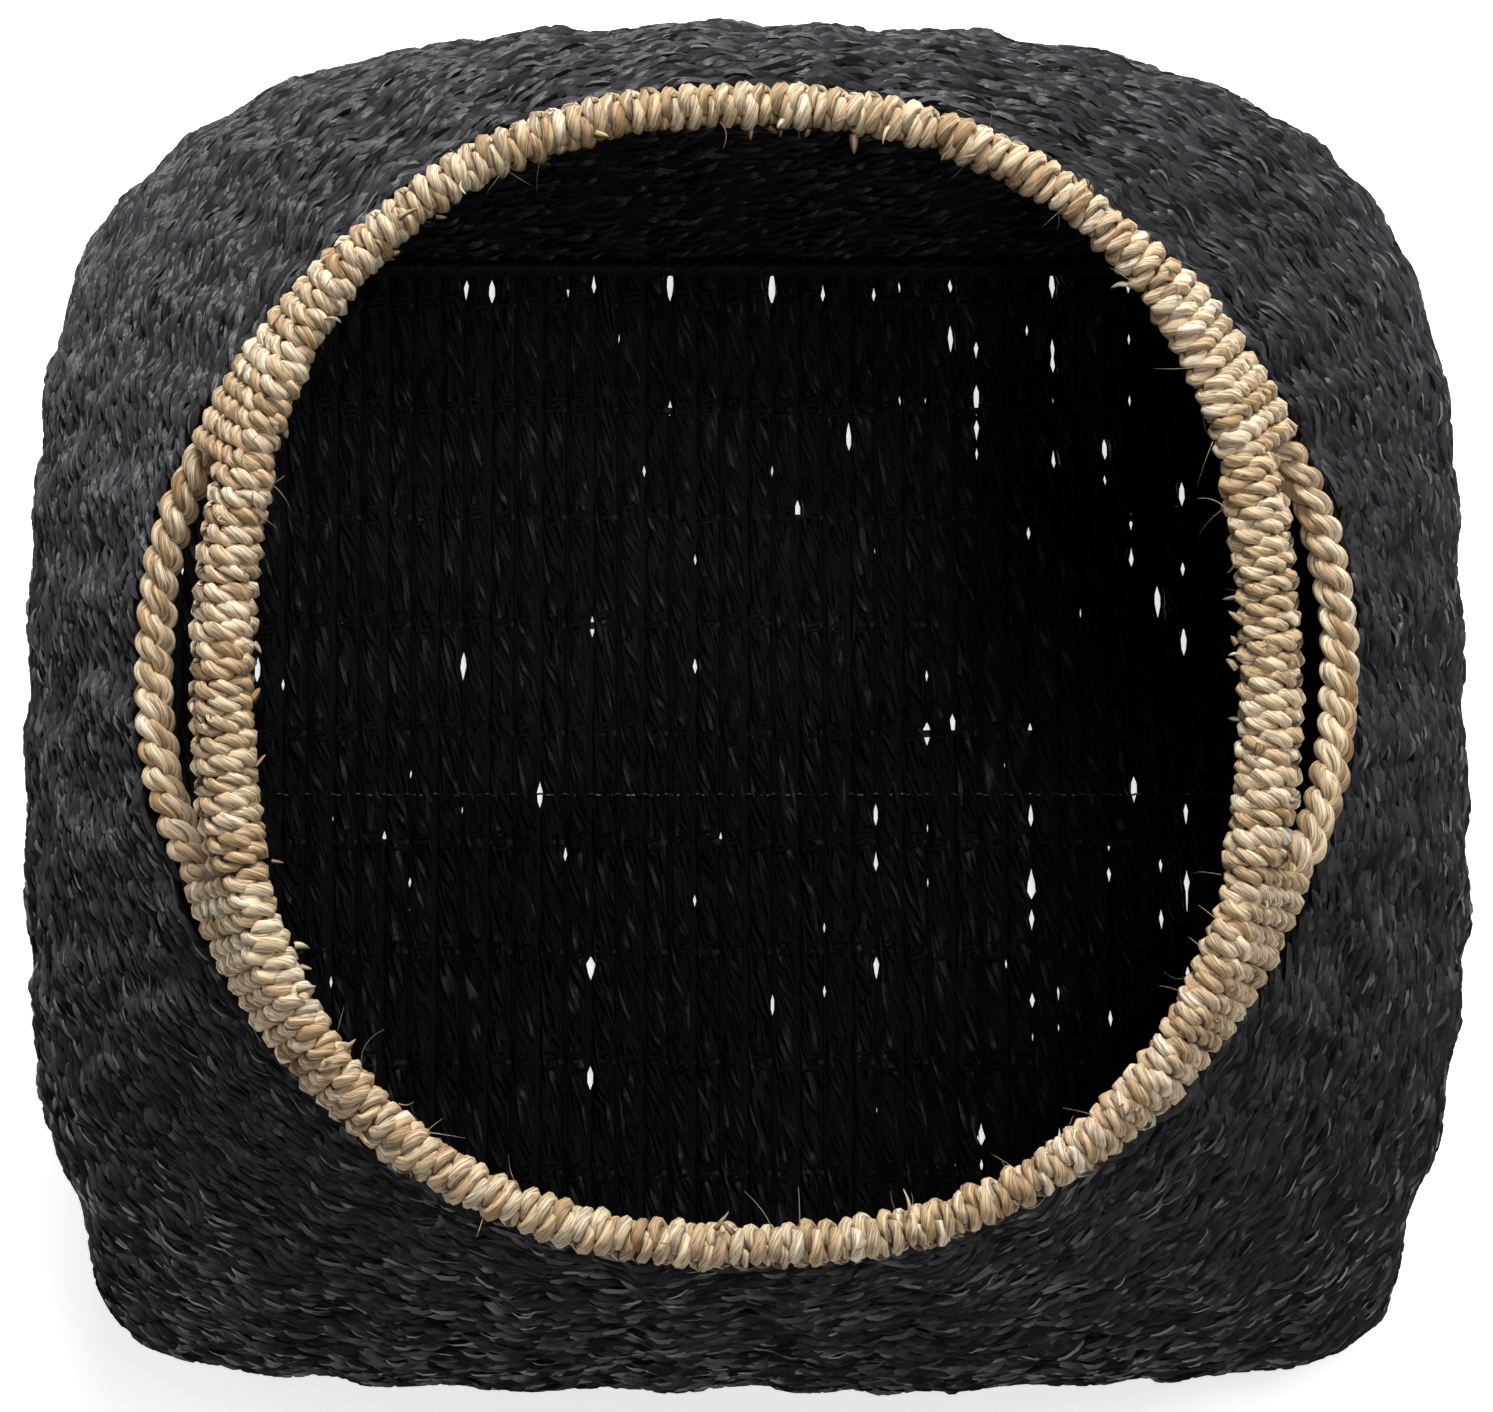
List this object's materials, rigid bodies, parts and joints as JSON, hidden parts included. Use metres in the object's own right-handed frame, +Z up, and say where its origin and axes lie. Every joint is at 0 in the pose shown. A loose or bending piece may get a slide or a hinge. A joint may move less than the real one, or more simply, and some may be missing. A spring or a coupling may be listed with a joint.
{
  "type": "seagrass storage basket",
  "caption": "Open twined basket with a square wire-framed base, a full belly, a narrower oval mouth wrapped in undyed leaf, and a hand slot at each side.",
  "frame": {"origin": "middle of the underside of the base, on the surface that it stands on", "axes": "+Z up through the mouth, -Y the front, +X the right-hand grip"},
  "size_m": [0.4188, 0.3904, 0.3298],
  "materials": {
    "dyed_leaf": "dyed twisted leaf, satin",
    "natural_leaf": "undyed dried leaf cord, satin",
    "natural_cord": "undyed two-ply leaf cord, satin",
    "stake_cane": "split cane, matt",
    "steel_wire": "drawn wire, dull"
  },
  "bodies": {
    "root": {"base_weave_under": "dyed_leaf", "base_weave_top": "dyed_leaf", "base_ring_wire": "steel_wire", "base_cross_wire": "steel_wire", "wall_weave_right": "dyed_leaf", "wall_weave_back": "dyed_leaf", "wall_weave_left": "dyed_leaf", "wall_weave_front": "dyed_leaf", "wall_weave_inner": "dyed_leaf", "cross_stake_1": "stake_cane", "cross_stake_2": "stake_cane", "cross_stake_3": "stake_cane", "cross_stake_4": "stake_cane", "cross_stake_5": "stake_cane", "cross_stake_6": "stake_cane", "cross_stake_7": "stake_cane", "cross_stake_8": "stake_cane", "cross_stake_9": "stake_cane", "cross_stake_10": "stake_cane", "front_stake_1": "stake_cane", "front_stake_2": "stake_cane", "front_stake_3": "stake_cane", "front_stake_4": "stake_cane", "front_stake_5": "stake_cane", "front_stake_6": "stake_cane", "front_stake_7": "stake_cane", "front_stake_8": "stake_cane", "front_stake_9": "stake_cane", "front_stake_10": "stake_cane", "back_stake_1": "stake_cane", "back_stake_2": "stake_cane", "back_stake_3": "stake_cane", "back_stake_4": "stake_cane", "back_stake_5": "stake_cane", "back_stake_6": "stake_cane", "back_stake_7": "stake_cane", "back_stake_8": "stake_cane", "back_stake_9": "stake_cane", "back_stake_10": "stake_cane", "rim_hoop": "stake_cane", "rim_wrap_front": "natural_leaf", "rim_wrap_back": "natural_leaf", "corner_wrap_front_left": "natural_leaf", "corner_wrap_front_right": "natural_leaf", "corner_wrap_back_left": "natural_leaf", "corner_wrap_back_right": "natural_leaf", "handle_grip_left": "natural_leaf", "handle_grip_right": "natural_leaf", "slot_cord_left": "natural_cord", "slot_cord_right": "natural_cord"}
  },
  "joints": []
}
